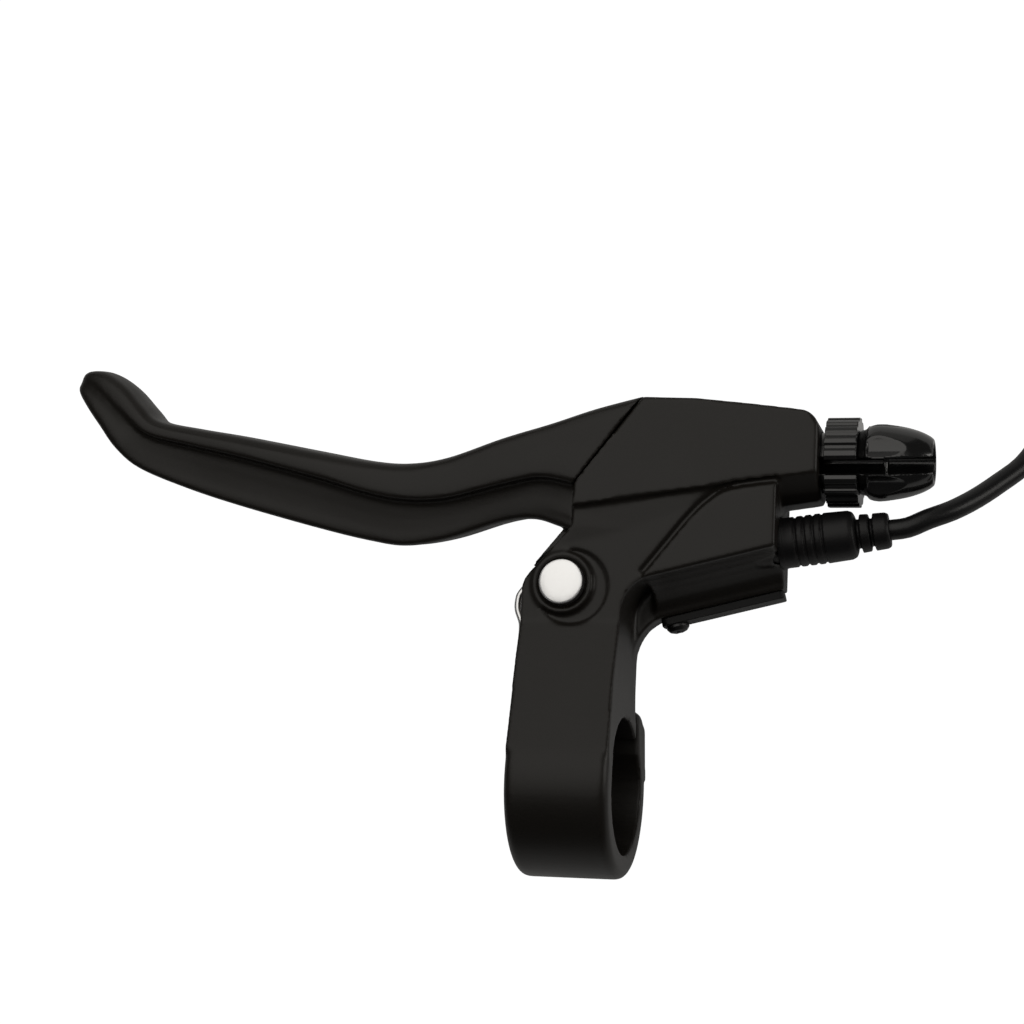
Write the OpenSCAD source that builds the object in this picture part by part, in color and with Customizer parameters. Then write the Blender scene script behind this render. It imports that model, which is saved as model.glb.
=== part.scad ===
// Short bicycle brake lever with a cut-off switch, for a straight handlebar.
// The bar runs along X through the origin. The fingers reach the blade from +Y,
// and the pivot pin stands along Z. Millimetres and degrees.

/* [Handlebar clamp] */
// Diameter of the handlebar that the clamp closes on
bar_d = 22.2; // [21:0.1:23.4]
// Wall of the clamp band
clamp_wall = 3.9; // [3.4:0.1:4.6]
// Width of the clamp band along the bar
clamp_w = 17; // [15:0.5:19]
// Rounding of the band's outer edges
clamp_edge = 1.5; // [0.6:0.1:2]
// Gap of the split behind the arm
clamp_split = 2; // [1:0.1:2.4]
// Thread diameter of the clamp bolt
clamp_bolt_d = 5; // [4:0.5:5.5]
// Metal left between the bolt and the bar
bolt_cover = 1.9; // [1.2:0.1:2.6]

/* [Bracket] */
// Height of the pivot above the bar's axis
pivot_y = 32.2; // [31:0.1:34]
// How far the pivot lies towards the fingers' end from the clamp's middle
pivot_back = 2; // [1:0.1:3]
// Depth of the arm and the ears along the pin
arm_t = 14.8; // [14.4:0.1:16]
// Width of the arm along the bar
arm_w = 16.7; // [16:0.1:17]
// Gap between the two ears
fork_gap = 9.4; // [8.6:0.1:9.8]
// Height of the brake wire's line above the pivot
cable_rise = 21.3; // [20.6:0.1:22]
// Length of the head from the pivot to the adjuster's face
head_len = 41.1; // [40:0.1:43]
// Depth of the head at the seam
head_t = 17.8; // [17.2:0.1:19]
// Depth of the head at the adjuster's face
head_end_t = 16; // [15.4:0.1:17]
// Width of the slot that the brake wire is laid in through
wire_slot = 2.6; // [2.2:0.1:3]

/* [Blade] */
// Length of the blade from the pivot to its tip
blade_reach = 92; // [86:0.5:104]
// Depth of the blade along the pin at its middle
blade_t = 14; // [12:0.2:15.6]
// Gap of the seam between the blade and the head
seam_gap = 0.3; // [0.2:0.05:0.6]
// Diameter of the barrel nipple's seat in the blade
nipple_d = 7.2; // [7.1:0.1:7.6]

/* [Pivot] */
// Diameter of the pivot pin
pin_d = 6; // [5:0.1:6.4]
// Diameter of the pin's head
pin_head_d = 7.3; // [7:0.1:7.6]
// Wall of the bush that the blade turns on
bush_wall = 1; // [0.8:0.05:1.2]
// Thickness of the washers beside the blade's hub
washer_t = 0.4; // [0.3:0.05:0.6]
// Thickness of the clip at the pin's end
clip_t = 0.6; // [0.5:0.05:0.7]
// Wire diameter of the return spring
spring_wire = 1.1; // [0.9:0.05:1.2]
// Full turns of the return spring
spring_turns = 2; // [1:1:2]

/* [Cable adjuster] */
// Thread diameter of the adjuster
thread_d = 9.8; // [9:0.1:10]
// Length of the thread inside the head and the locknut
thread_len = 18; // [15:0.5:20]
// Largest diameter of the adjuster's grip
adjuster_d = 12.8; // [12.2:0.1:14]
// Length of the adjuster's grip
adjuster_len = 12.4; // [11:0.2:15]
// Number of scalloped flutes in the adjuster's grip
adjuster_flutes = 6; // [5:1:8]
// Diameter of the seat for the cable's housing
housing_d = 6.1; // [5.2:0.1:6.2]
// Depth of the seat for the cable's housing
housing_depth = 8; // [6:0.5:9]
// Diameter of the locknut
locknut_d = 14.7; // [13.6:0.1:16]
// Length of the locknut
locknut_len = 5.2; // [4:0.1:6]
// Number of ribs round the locknut
locknut_ribs = 20; // [12:1:28]

/* [Switch housing] */
// Angle at which the housing's floor rises towards the cable
box_tilt = 14; // [13:0.5:15]
// Distance from the pivot to the housing's cable face
box_len = 34.6; // [34:0.1:36]
// Thickness of the cover plate
cover_t = 1.3; // [1.1:0.1:1.5]
// Diameter of the cover screw's head
cover_head_d = 3.8; // [3.6:0.1:4]
// Diameter of the reed capsule
reed_d = 2.4; // [2:0.1:2.5]
// Length of the reed capsule
reed_len = 12; // [9:0.5:13]
// Diameter of the magnet in the blade's hub
magnet_d = 3.6; // [3:0.1:3.8]

/* [Switch cable] */
// Diameter of the switch cable
cord_d = 3.4; // [3:0.1:3.5]
// Diameter of the boot where it seats on the housing
boot_d = 8.5; // [8:0.1:9]
// Length of the boot outside the housing
boot_len = 18; // [16:0.5:19]
// Diameter of the connector's body
plug_d = 8.4; // [7.6:0.1:8.4]
// Length of the connector's body
plug_len = 26; // [22:1:30]
// Diameter of a connector pin
plug_pin_d = 1; // [0.8:0.1:1.2]

/* [Hidden] */
$fn = 64;
eps = 0.01;
through = 40;
fit = 0.02;
running = 0.05;
rest_gap = 0.1;

bar_r = bar_d / 2;
band_r = bar_r + clamp_wall;
pivot = [-pivot_back, pivot_y];
cable_y = pivot_y + cable_rise;
// how far the pivot and the wire's line lie above the heights that the blade is drawn for
pivot_up = pivot_y - 32.2;
cable_up = cable_y - 53.5;
arm_left = -pivot_back - 6.9;
arm_right = arm_left + arm_w;
face_x = head_len - pivot_back;
box_x = box_len - pivot_back;
face_z = arm_t / 2;

// the floor that everything below the lever lies on
lug_z = -(arm_t / 2 + clamp_split + 7.1);
floor_z = lug_z;

// the seam between the blade and the head, as three points from the bottom up
seam = [pivot + [1.1, 9.6], pivot + [1.4, 16.4], [pivot[0] + 11.7, cable_y + 8.8]];

bolt_y = bar_r + bolt_cover + clamp_bolt_d / 2;
bolt_head_d = clamp_bolt_d * 1.8;
bolt_head_h = clamp_bolt_d * 0.55;
bolt_washer_t = 1;
bolt_seat_z = -(arm_t / 2 + clamp_split + 3.1);
bolt_end = -2.8;

bush_r = pin_d / 2 + running + bush_wall;
hub_half = fork_gap / 2 - washer_t - rest_gap;
boss_r = pin_head_d / 2 + 1.45;
pin_seat_z = face_z - 0.4;
pin_top = face_z + 1.7;
clip_z = -(face_z - 0.8);
coil_r = bush_r + 0.35 + spring_wire / 2;
spring_pitch = spring_wire + 0.08;
spring_top = hub_half - spring_wire / 2 - 0.1;
spring_low = spring_top - spring_turns * spring_pitch;
hub_r = 6.3;

nipple = [pivot[0] - 2, cable_y];
nipple_floor = 2.9;
swing = 25;

box_face_z = face_z + 0.6;
cover_len = 20.8;
reed_r = reed_d / 2;

boot_tilt = 7.5;
boot_at = [box_x - 0.5, pivot_y + 7.85, 0];
boot_end = boot_at + boot_len * [cos(boot_tilt), sin(boot_tilt), 0];

// the cable's way out: straight from the boot, down to the floor, and up to the coil
cord_out = [
    boot_end + [2.9, 0.45, -0.1], [56, 44.4, -0.9], [59.6, 46.1, -2.5], [63.2, 48.6, -5],
    [66.8, 51.7, -7.5], [70.3, 55.1, -10], [72.9, 59.4, -12], [74.2, 63.4, -13.1]
];
coil_at = [97, 68];
coil_r_out = 19.2;
coil_r_in = coil_r_out - cord_d;
coil_lift = 0.9;
coil_low = floor_z + coil_lift;
coil_high = coil_low + cord_d * 1.88;
plug_axis_z = floor_z + plug_d / 2;
cord_tail = [
    [100.6, 45.4, -12.6], [98.8, 42.7, -12.4], [97.4, 39.8, plug_axis_z], [96.2, 36.9, plug_axis_z]
];
plug_dir = 248;
tie_t = 0.8;
tie_w = 9;

function unit(v) = v / norm(v);
function angle_of(v) = atan2(v[1], v[0]);
function wrap(a) = a > 180 ? a - 360 : a < -180 ? a + 360 : a;

// one corner of an outline, rounded to radius r with n steps
function corner(a, b, c, r, n) =
    r == 0 ? [b] :
    let (u = unit(a - b), v = unit(c - b), half = acos(u * v) / 2)
    let (m = b + unit(u + v) * r / sin(half), t = r / tan(half))
    let (from = angle_of(b + u * t - m), sweep = wrap(angle_of(b + v * t - m) - from))
    [for (i = [0:n]) m + r * [cos(from + sweep * i / n), sin(from + sweep * i / n)]];

// an outline whose points are [x, y, rounding]
function soft(p, n = 6) = [
    for (i = [0:len(p) - 1])
        let (a = p[(i + len(p) - 1) % len(p)], b = p[i], c = p[(i + 1) % len(p)])
        each corner([a[0], a[1]], [b[0], b[1]], [c[0], c[1]], len(b) > 2 ? b[2] : 0, n)
];

// a smooth curve through the rows of a list, n steps between two rows
function blend4(a, b, c, d, t) =
    0.5 * (2 * b + (c - a) * t + (2 * a - 5 * b + 4 * c - d) * t * t + (3 * b - a - 3 * c + d) * t * t * t);
function smooth(rows, n) = [
    for (i = [0:len(rows) - 2], k = [0:n - 1])
        blend4(rows[max(i - 1, 0)], rows[i], rows[i + 1], rows[min(i + 2, len(rows) - 1)], k / n),
    rows[len(rows) - 1]
];

// a closed solid through rings of points, the first ring and the last one capped
module skin(rings) {
    m = len(rings[0]);
    last = len(rings) - 1;
    sides = [
        for (i = [0:last - 1], j = [0:m - 1])
            each [[i * m + j, i * m + (j + 1) % m, (i + 1) * m + j],
                  [i * m + (j + 1) % m, (i + 1) * m + (j + 1) % m, (i + 1) * m + j]]
    ];
    caps = [[for (j = [m - 1:-1:0]) j], [for (j = [0:m - 1]) last * m + j]];
    polyhedron(points = [for (r = rings) each r], faces = concat(sides, caps), convexity = 8);
}

// a round wire or cable along a path that never runs straight up
function ring_at(p, d, r, n) =
    let (t = unit(d), s = unit(cross([0, 0, 1], t)), u = cross(t, s))
    [for (j = [n - 1:-1:0]) p + r * (cos(360 * j / n) * s + sin(360 * j / n) * u)];
module wire(path, r, n = 8) {
    last = len(path) - 1;
    skin([for (i = [0:last]) ring_at(path[i], path[min(i + 1, last)] - path[max(i - 1, 0)], r, n)]);
}

// a shape drawn in the side view, Y to the right and Z up, drawn out along X
module along_x(length, x = 0) {
    translate([x - length / 2, 0, 0]) rotate([90, 0, 90]) linear_extrude(height = length) children();
}

module rod_z(r, z0, z1, at = pivot) {
    translate([at[0], at[1], z0]) cylinder(h = z1 - z0, r = r);
}

// a turned shape about the cable's line, its outline given as [x, radius]
module turned(outline) {
    translate([0, cable_y, 0]) rotate([0, 90, 0])
        rotate_extrude() polygon([for (p = outline) [p[1], p[0]]]);
}

module clamp_band() {
    half = clamp_w / 2;
    rotate([0, 90, 0]) rotate_extrude()
        polygon(soft([[bar_r - eps, -half], [band_r, -half, clamp_edge], [band_r, half, clamp_edge],
                      [bar_r - eps, half]]));
}

// where the arm's flared side leaves the clamp band
function flare_touch(p) =
    let (a = atan2(p[1], p[0]) + acos(band_r / norm(p))) band_r * [cos(a), sin(a)];

module arm_and_web() {
    flare = [band_r + 11, face_z];
    touch = flare_touch(flare);
    intersection() {
        translate([0, 0, -through / 2]) linear_extrude(height = through) polygon(soft([
            [arm_left + 0.5, 2], [arm_left, flare[0] - 6], [arm_left, pivot_y + 0.4, 4],
            seam[0], seam[1], seam[1] + [16, -0.8], [box_x - 9, cable_y - 6.4], [box_x - 17, pivot_y + 1.9],
            [arm_right, pivot_y + 0.4, 6], [arm_right, band_r + 1], [clamp_w / 2, band_r + 1],
            [clamp_w / 2, 2]
        ]));
        along_x(3 * clamp_w, 10) polygon([
            [2, touch[1] - 1], touch, flare, [cable_y, face_z], [cable_y, -face_z], [2, -face_z]
        ]);
    }
}

// what is taken off the band's and the lug's right side, so that it runs on into the arm's side
module side_taper() {
    translate([0, 0, -through]) linear_extrude(height = 2 * through) polygon([
        [clamp_w / 2, 2], [clamp_w / 2 + 5, 2], [clamp_w / 2 + 5, band_r + 5], [arm_right, band_r + 5],
        [arm_right, band_r + 1]
    ]);
}

// the foot of the switch housing, blended into the arm
module web_foot() {
    translate([0, 0, -box_face_z]) linear_extrude(height = box_face_z + cove_back) polygon(soft([
        [arm_right - 3, pivot_y + 4], [arm_right - 3, pivot_y - 14], [arm_right, pivot_y - 14],
        [arm_right, pivot_y - 4.9, 8], [arm_right + 8, pivot_y - 2.9], [arm_right + 8, pivot_y + 4]
    ]));
}

// the head's outline, its top and its end drawn in by e
function head_plan(e) = soft([
    seam[0], seam[1], seam[2] + [-e * 0.5, -e * 0.9], [pivot[0] + 12.3, cable_y + 9.6 - e],
    [pivot[0] + 21, cable_y + 9.3 - e], [pivot[0] + 30, cable_y + 8.3 - e],
    [face_x - e, cable_y + 6.9 - e, 3.2 - e], [face_x - e, cable_y - 6.9]
], 5);

module head() {
    edge = 1.1;
    tilt = 8.2;
    crease = 44.4 + cable_up;
    half = head_t / 2;
    half_end = head_end_t / 2;
    intersection() {
        skin([
            for (side = [-1, 1], a = side < 0 ? [90:-30:0] : [0:30:90])
                [for (p = head_plan(edge * (1 - cos(a)))) [p[0], p[1], side * (half - edge * (1 - sin(a)))]]
        ]);
        rotate([90, 0, 0]) translate([0, 0, -2 * through]) linear_extrude(height = 2 * through) polygon([
            [-10, -half], [seam[0][0], -half], [face_x + 1, -half_end], [face_x + 1, half_end],
            [seam[0][0], half], [-10, half]
        ]);
        rotate([0, 0, tilt]) along_x(3 * through) polygon([
            [crease, half + 1], [crease + 30, half + 1], [crease + 30, -half - 1], [crease, -half - 1],
            [crease, -half_end], [crease - 2.6, -half_end + 3.5], [crease - 3.7, -2.4], [crease - 3.7, 2.4],
            [crease - 2.6, half_end - 3.5], [crease, half_end]
        ]);
    }
}

// distance of the housing's floor from the bar's axis, measured square to the floor
box_floor = 24.3 + pivot_up * cos(box_tilt);
cove_h = 5;
cove_back = -3.4;
module box_section() {
    lip = 0.7;
    polygon(concat(
        [[box_floor + 30, -box_face_z], [box_floor + 30, box_face_z], [box_floor + cove_h, box_face_z]],
        [for (a = [0:15:90])
            [box_floor + cove_h * cos(a), box_face_z - lip - (box_face_z - lip - cove_back) * sin(a)]],
        [[box_floor, -box_face_z]]
    ));
}

module switch_box() {
    intersection() {
        translate([0, 0, -box_face_z]) linear_extrude(height = 2 * box_face_z) polygon(soft([
            [box_x - 21.2, pivot_y - 6.4], [box_x - 21.2, pivot_y + 1.7], [box_x - 13.7, pivot_y + 11.3, 20],
            [box_x - 9.3, cable_y - 6.2, 4], [box_x, cable_y - 4.5], [box_x, pivot_y - 3]
        ]));
        rotate([0, 0, box_tilt]) along_x(3 * through) box_section();
    }
}

module clamp_lug() {
    half = clamp_w / 2;
    top = band_r - 1.5;
    front = -(arm_t / 2 + clamp_split);
    intersection() {
        translate([0, 0, lug_z]) linear_extrude(height = front - lug_z)
            polygon(soft([[-half, 2], [-half, top, 2], [arm_right + 0.3, top, 2], [half, 2]]));
        along_x(clamp_w + 2) polygon([
            [2, front + 1], [top, front + 1], [top, front - 1.6], [top - 2.9, -band_r], [2, -band_r]
        ]);
    }
    rod_z(bolt_head_d / 2 + 1.4, lug_z, front, [0, bolt_y]);
}

// everything that is cast solid, before it is drilled and milled
module casting() {
    difference() {
        union() {
            clamp_band();
            arm_and_web();
            clamp_lug();
        }
        side_taper();
    }
    web_foot();
    head();
    switch_box();
    rod_z(boss_r, 0, face_z + 0.5);
}

// the room between the ears that the blade's hub turns in
module fork_room() {
    translate([0, 0, -fork_gap / 2]) linear_extrude(height = fork_gap) {
        translate(pivot) circle(r = hub_r + 0.7);
        translate([pivot[0] - 20, pivot_y - hub_r - 0.7]) square([20, 26]);
        intersection() {
            translate(pivot) circle(r = 18);
            translate(pivot - [9, 0]) square([9 + 7.4, 17.6]);
        }
    }
}

module wire_way() {
    translate([-12, cable_y - wire_slot / 2, -through]) cube([through + 20, wire_slot, through]);
    turned([[-12, 0], [-12, wire_slot / 2], [face_x + 1, wire_slot / 2], [face_x + 1, 0]]);
}

module box_room() {
    rotate([0, 0, box_tilt]) translate([0, box_floor - 1, cover_mid]) {
        translate([cover_at + 5.6, 0, -1.35]) cube([cover_len - 8.2, 9.8, 2.7]);
        translate([cover_at + screw_in, 2, 0]) rotate([90, 0, 0])
            translate([0, 0, -5]) cylinder(h = 8, r = screw_r + fit);
        // the plate's seat
        translate([0, 1, 0]) rotate([90, 0, 0])
            linear_extrude(height = cover_t + rest_gap) cover_plan(rest_gap);
    }
}
cover_at = (box_x - 20.6) * cos(box_tilt) + (pivot_y - 3.7) * sin(box_tilt);
cover_mid = (cove_back - box_face_z) / 2;
screw_in = 2.4;
screw_r = 1;
module cover_plan(g) {
    half = (box_face_z + cove_back) / 2 - 0.2 + g;
    polygon(soft([
        [cover_at - g, -half, 1.2], [cover_at + cover_len + g, -half, 0.6],
        [cover_at + cover_len + g, half, 0.6], [cover_at - g, half, 1.2]
    ]));
}

module bracket() color([0.17, 0.17, 0.17]) {
    difference() {
        casting();
        // the bar's bore and the split behind the arm
        rotate([0, 90, 0]) cylinder(h = through, r = bar_r, center = true, $fn = 128);
        translate([-through / 2, bar_r * 0.4, -(face_z + clamp_split)])
            cube([through, bolt_y + 7, clamp_split]);
        // the clamp bolt's thread, way and seat
        rod_z(clamp_bolt_d / 2 + running, -face_z - 1, bolt_end + 0.5, [0, bolt_y]);
        rod_z(clamp_bolt_d / 2 + 0.3, lug_z - 1, -face_z - clamp_split + 1, [0, bolt_y]);
        rod_z(bolt_head_d / 2 + 0.4, lug_z - 1, bolt_seat_z, [0, bolt_y]);
        // the fork and the pin's way through both ears
        fork_room();
        rod_z(pin_d / 2 + fit, -face_z - 2, face_z + 2);
        rod_z(pin_head_d / 2 + 0.5, pin_seat_z, face_z + 2);
        rod_z(bush_r + 1.4, -face_z - 2, clip_z);
        // the shallow ring round the boss
        difference() {
            rod_z(boss_r + 1.2, face_z - 0.5, face_z + 2, pivot + [1.4, -0.6]);
            rod_z(boss_r, face_z - 1, face_z + 3);
        }
        // the brake wire's slot, open behind, and the adjuster's thread
        wire_way();
        turned([[face_x - thread_len, 0], [face_x - thread_len, thread_d / 2 + running],
                [face_x + 1, thread_d / 2 + running], [face_x + 1, 0]]);
        // the reed's room, open below, and the boot's seat
        box_room();
        translate(boot_at) rotate([0, 0, boot_tilt]) rotate([0, 90, 0]) {
            cylinder(h = 4, r = boot_d / 2 + rest_gap);
            translate([0, 0, -3.5]) cylinder(h = 5.5, r = boot_d / 2 - 1.2 + fit);
        }
    }
}

module clamp_bolt() color([0.1, 0.1, 0.11]) {
    under = bolt_seat_z - bolt_washer_t;
    difference() {
        union() {
            rod_z(clamp_bolt_d / 2, under - eps, bolt_end, [0, bolt_y]);
            translate([0, bolt_y, under]) rotate([180, 0, 0]) rotate_extrude()
                polygon([[0, 0], [bolt_head_d / 2, 0], [bolt_head_d / 2, bolt_head_h * 0.35],
                         [bolt_head_d * 0.42, bolt_head_h * 0.8], [bolt_head_d * 0.3, bolt_head_h],
                         [0, bolt_head_h]]);
        }
        translate([0, bolt_y, under - bolt_head_h - 1])
            cylinder(h = 1 + bolt_head_h * 0.75, r = clamp_bolt_d * 0.33, $fn = 6);
    }
}

module bolt_washer() color([0.62, 0.62, 0.64]) {
    difference() {
        rod_z(bolt_head_d / 2 - 0.1, bolt_seat_z - bolt_washer_t, bolt_seat_z, [0, bolt_y]);
        rod_z(clamp_bolt_d / 2 + 0.15, bolt_seat_z - 3, bolt_seat_z + 1, [0, bolt_y]);
    }
}

// The blade: each row gives the finger edge [x, y], the bar edge [x, y], the half depth
// at the rim, the half depth at the bar edge, the rim's place between the edges (0 to 1),
// and how round the finger side is (0 flat, 1 round).
bx = blade_reach / 92;
bz = blade_t / 14;
function out(x, y) = [pivot[0] + (x + 2) * bx, y + pivot_up];
function root(x, y) = [pivot[0] + x + 2, y + cable_up];
blade_rows = [
    [out(-93.3, 69.3), out(-93.9, 67.8), 2.2 * bz, 1.6 * bz, 0.5, 1],
    [out(-91.4, 70.6), out(-93.4, 65.9), 5.0 * bz, 4.0 * bz, 0.5, 1],
    [out(-87.4, 70.5), out(-91.4, 63.2), 6.3 * bz, 5.0 * bz, 0.5, 1],
    [out(-82.6, 68.2), out(-88.2, 59.8), 6.9 * bz, 5.4 * bz, 0.5, 1],
    [out(-79.0, 64.2), out(-84.4, 56.3), 6.8 * bz, 5.0 * bz, 0.52, 1],
    [out(-76.2, 61.3), out(-79.6, 53.2), 6.5 * bz, 4.3 * bz, 0.56, 0.9],
    [out(-69.0, 59.8), out(-71.0, 49.9), 6.4 * bz, 3.8 * bz, 0.62, 0.8],
    [out(-60.0, 58.3), out(-61.0, 46.9), 6.6 * bz, 3.7 * bz, 0.62, 0.8],
    [out(-46.0, 55.6), out(-46.4, 43.1), 6.9 * bz, 3.8 * bz, 0.58, 0.8],
    [out(-36.5, 53.8), out(-37.0, 41.0), 7.1 * bz, 4.0 * bz, 0.52, 0.7],
    [out(-30.0, 53.4), out(-30.5, 40.2), 7.3 * bz, 4.2 * bz, 0.48, 0.7],
    [out(-23.0, 54.3), out(-23.0, 41.3), 7.6, 4.5, 0.42, 0.6],
    [root(-13.6, 57.2), root(-14.0, 44.1), 8.1, 4.9, 0.37, 0.4],
    [root(-5.0, 59.4), root(-8.0, 44.9), 8.5, 5.4, 0.37, 0.2],
    [root(2.6, 61.7), root(-3.0, 44.0), 8.8, 5.9, 0.32, 0.1],
    [root(11.5, 64.0), root(3.0, 42.4), 8.9, 6.4, 0.27, 0.1]
];
function flat_row(r) = [r[0][0], r[0][1], r[1][0], r[1][1], r[2], r[3], r[4], r[5]];

// half of a blade section, from the middle of the finger side to the middle of the bar side,
// as [place between the edges, half depth]
function half_section(w, wi, q, c) =
    let (top = 1, d = 1 - q)
    [
        [top, 0.05 * w], [top - 0.02 * c, 0.36 * w], [top - 0.07 * c, 0.66 * w],
        [top - 0.02 - 0.10 * c, 0.86 * w], [top - 0.07 - 0.14 * c, 0.97 * w],
        [q + 0.45 * d, w], [q + 0.12 * d, w], [q, w * 0.97], [q - 0.035, w * 0.9],
        [q - 0.09, w * 0.52 + wi * 0.42], [q * 0.62, wi * 1.02], [q * 0.3, wi], [0.06, wi * 0.94],
        [0.015, wi * 0.75], [0, wi * 0.4], [0, wi * 0.05]
    ];
function blade_ring(r) =
    let (t = [r[0], r[1]], b = [r[2], r[3]], h = half_section(r[4], r[5], r[6], r[7]), n = len(h))
    concat(
        [for (p = h) let (q = b + (t - b) * p[0]) [q[0], q[1], -p[1]]],
        [for (i = [n - 1:-1:0]) let (p = h[i], q = b + (t - b) * p[0]) [q[0], q[1], p[1]]]
    );

module blade_skin() {
    skin([for (r = smooth([for (q = blade_rows) flat_row(q)], 2)) blade_ring(r)]);
}

// everything on the head's side of the seam
module beyond_seam(gap) {
    n = [[-1, 0], unit([-(seam[2] - seam[1])[1], (seam[2] - seam[1])[0]])];
    translate([0, 0, -through / 2]) linear_extrude(height = through) polygon([
        seam[0] + n[0] * gap + [0, -30], seam[1] + n[0] * gap, seam[1] + n[1] * gap,
        seam[2] + n[1] * gap + 12 * unit(seam[2] - seam[1]), [60, cable_y + 20], [60, pivot_y - 20]
    ]);
}

module brake_blade() color([0.17, 0.17, 0.17]) {
    difference() {
        union() {
            difference() {
                blade_skin();
                beyond_seam(seam_gap);
            }
            translate([pivot[0], pivot_y, -hub_half]) linear_extrude(height = 2 * hub_half) polygon(soft([
                [-hub_r, -hub_r, hub_r - 0.1], [-hub_r, 3.2, 4], [-0.6, 10.2, 1], [-2.6, 12.6], [-2.6, 18],
                [0.6, 18], [5.2, 15.2, 2], [5.8, 13.2], [6.8, 7.5, 1.5], [6.8, 1.5], [hub_r, -hub_r, hub_r - 0.1]
            ], 8));
        }
        // the bush's bore, and the room for the spring round it
        rod_z(bush_r + fit, -through, through);
        rod_z(hub_r + 0.4, spring_low - spring_wire / 2 - 0.25, fork_gap / 2);
        translate([pivot[0] + coil_r - spring_wire / 2 - 0.15, pivot_y, spring_low - spring_wire / 2 - 0.2])
            cube([spring_wire + 0.3, 8.2, 8]);
        // the magnet's seat
        translate([pivot[0] + 6.7, pivot_y + 5, -2.1]) rotate([0, -90, 0])
            cylinder(h = 3.1, r = magnet_d / 2 + fit);
        // the barrel nipple's seat, open behind, and the wire's way as the blade swings
        rod_z(nipple_d / 2, -through, nipple_floor, nipple);
        translate([0, 0, -through]) linear_extrude(height = through + wire_slot / 2) polygon([
            nipple + [0, wire_slot / 2], nipple + [20, wire_slot / 2],
            nipple + [20, -20 * tan(swing) - wire_slot / 2], nipple + [0, -wire_slot / 2]
        ]);
    }
}

module pivot_pin() color([0.86, 0.86, 0.87]) {
    foot = clip_z - clip_t - 0.9;
    difference() {
        union() {
            rod_z(pin_d / 2, foot, pin_seat_z + eps);
            translate([pivot[0], pivot_y, 0]) rotate_extrude() polygon([
                [0, pin_seat_z], [pin_head_d / 2, pin_seat_z], [pin_head_d / 2, pin_top - 0.25],
                [pin_head_d / 2 - 0.25, pin_top], [0, pin_top]
            ]);
        }
        difference() {
            rod_z(pin_d / 2 + 1, clip_z - clip_t - 0.1, clip_z + eps);
            rod_z(pin_d / 2 - 0.6, clip_z - clip_t - 1, clip_z + 1);
        }
    }
}

module pivot_bush() color([0.72, 0.55, 0.3]) {
    difference() {
        rod_z(bush_r, -hub_half, hub_half);
        rod_z(pin_d / 2 + running, -through, through);
    }
}

module pivot_washers() color([0.7, 0.7, 0.72]) {
    for (side = [-1, 1]) {
        middle = side * (hub_half + rest_gap / 2 + washer_t / 2);
        difference() {
            rod_z(bush_r + 0.9, middle - washer_t / 2, middle + washer_t / 2);
            rod_z(pin_d / 2 + running, -through, through);
        }
    }
}

module pivot_clip() color([0.3, 0.3, 0.32]) {
    inner = pin_d / 2 - 0.6 + fit;
    translate([pivot[0], pivot_y, clip_z - clip_t]) linear_extrude(height = clip_t) difference() {
        circle(r = pin_d / 2 + 1.5);
        circle(r = inner + 0.9);
        translate([-inner * 0.8, -8]) square([inner * 1.6, 8]);
    }
    for (a = [90, 200, 340])
        translate([pivot[0], pivot_y, clip_z - clip_t]) rotate([0, 0, a])
            translate([inner, -0.8, 0]) cube([1.3, 1.6, clip_t]);
}

module return_spring() color([0.75, 0.75, 0.76]) {
    steps = 16;
    turns = spring_turns + 0.375;
    coil = [for (i = [0:steps * turns])
        [pivot[0] + coil_r * cos(360 * i / steps), pivot_y + coil_r * sin(360 * i / steps),
         spring_low + (spring_top - spring_low) * i / (steps * turns)]];
    moving_leg = [[pivot[0] + coil_r, pivot_y + 7.4, spring_low], [pivot[0] + coil_r, pivot_y + 4, spring_low]];
    fixed_leg = smooth([
        [pivot[0] - 5.7, pivot_y + 1.6, spring_top], [-9.6 - fixed_out, pivot_y - 1.0, spring_top],
        [-10.1 - fixed_out, pivot_y - 2.2, spring_top], [-10.1 - fixed_out, pivot_y - 4, spring_top],
        [-9.3 - fixed_out, pivot_y - 6.3, spring_top], [-9.3 - fixed_out, pivot_y - 9, spring_top]
    ], 3);
    wire(concat([moving_leg[0], moving_leg[1]], coil, fixed_leg), spring_wire / 2);
}
fixed_out = -(arm_left + 8.9) + (spring_wire - 1.1) / 2 + 0.2;

module blade_magnet() color([0.6, 0.6, 0.62]) {
    translate([pivot[0] + 6.6, pivot_y + 5, -2.1]) rotate([0, -90, 0]) cylinder(h = 3, r = magnet_d / 2);
}

// the direction that the slots in the adjuster and the locknut face, from the front downwards
slot_turn = 18;
module open_slot(x0, x1) {
    translate([x0, cable_y, 0]) rotate([slot_turn, 0, 0])
        translate([0, -wire_slot / 2, 0]) cube([x1 - x0, wire_slot, through]);
}

nut_x = face_x + rest_gap;
grip_x = nut_x + locknut_len + rest_gap;
grip_end = grip_x + adjuster_len;

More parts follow.
